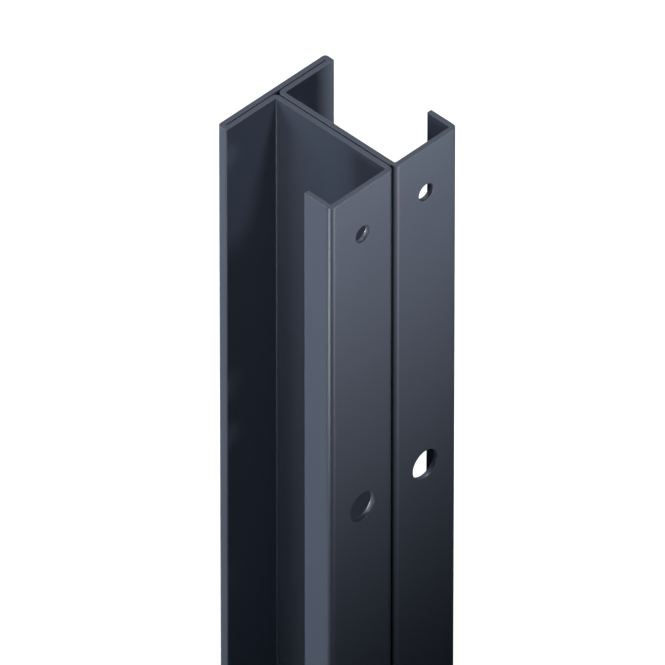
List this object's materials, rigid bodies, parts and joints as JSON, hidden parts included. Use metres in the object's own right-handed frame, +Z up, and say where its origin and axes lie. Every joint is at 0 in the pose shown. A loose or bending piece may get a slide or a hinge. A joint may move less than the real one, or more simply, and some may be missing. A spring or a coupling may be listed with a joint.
{
  "type": "metal fence post",
  "caption": "Roll-formed steel fence post with a hemmed back flange, a folded web and lipped, drilled front flanges that leave open side channels for fence panels.",
  "frame": {"origin": "centre of the section's outline at the cut foot end", "axes": "+Z up along the post; -Y out of the drilled front flanges, +Y out of the hemmed back flange; X across the post from one side channel to the other"},
  "size_m": [0.05, 0.048, 1.5],
  "materials": {
    "powder_coat": "satin anthracite powder coat"
  },
  "bodies": {
    "root": {"post": "powder_coat"}
  },
  "joints": []
}
